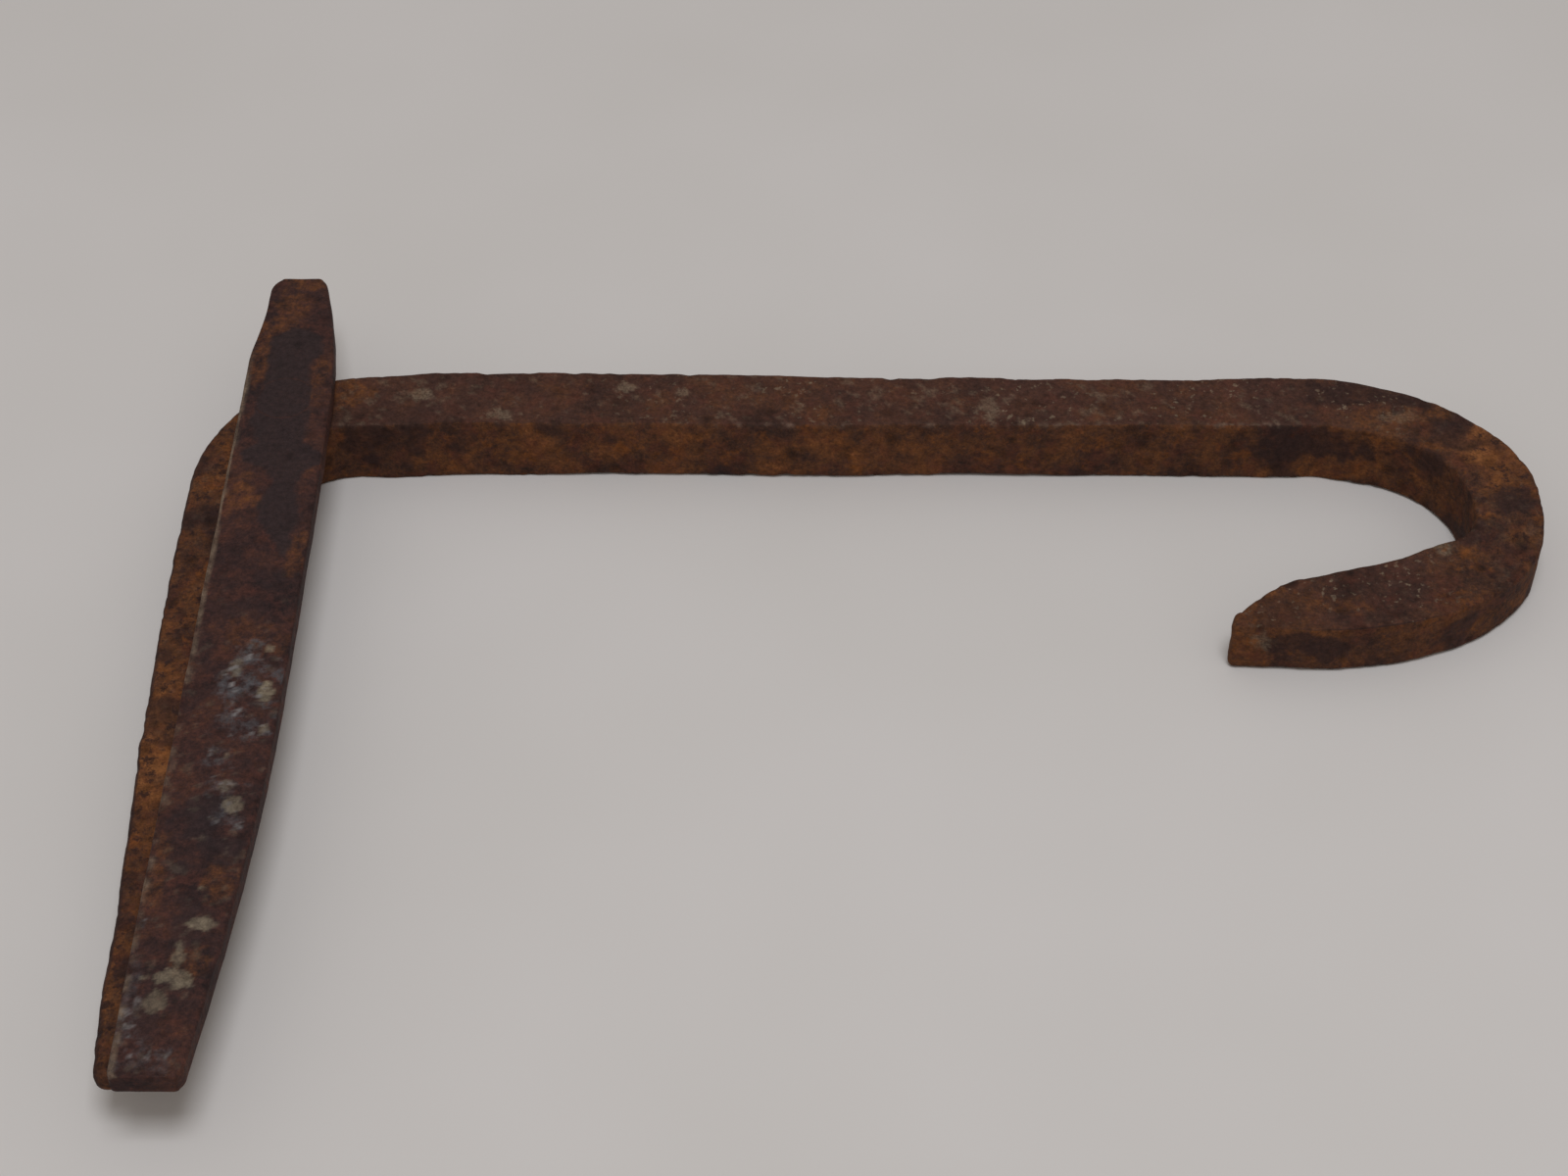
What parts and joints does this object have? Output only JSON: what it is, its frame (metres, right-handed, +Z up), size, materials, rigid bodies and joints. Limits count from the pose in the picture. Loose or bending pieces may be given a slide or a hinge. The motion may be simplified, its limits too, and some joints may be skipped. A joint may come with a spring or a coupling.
{
  "type": "toggle bolt latch",
  "caption": "Hand-forged square-bar latch: J hook at one end, bent leg at the other, with a flat toggle bar turning on a flush rivet.",
  "frame": {"origin": "on the resting plane, under the middle of the whole latch's bounding box", "axes": "+X along the shank towards the hook, +Y away from the hook's arm, towards the toggle's short arm, +Z up out of the plane it lies on, along the rivet"},
  "size_m": [0.1728, 0.1318, 0.0129],
  "materials": {
    "rusted_rod": "forged, heavily rusted orange-brown with dark pits and pale specks",
    "scaled_toggle": "forged, dark maroon scale and old paint over rust",
    "rivet_iron": "peened flush, dark scale"
  },
  "bodies": {
    "rod": {"hook_rod": "rusted_rod", "pivot_rivet": "rivet_iron"},
    "toggle": {"toggle_bar": "scaled_toggle"}
  },
  "joints": [
    {"name": "toggle_turn", "type": "hinge", "parent": "rod", "child": "toggle", "pos_m": [-0.07523, 0.0409, 0.01135], "axis": [0, 0, 1], "continuous": true}
  ]
}
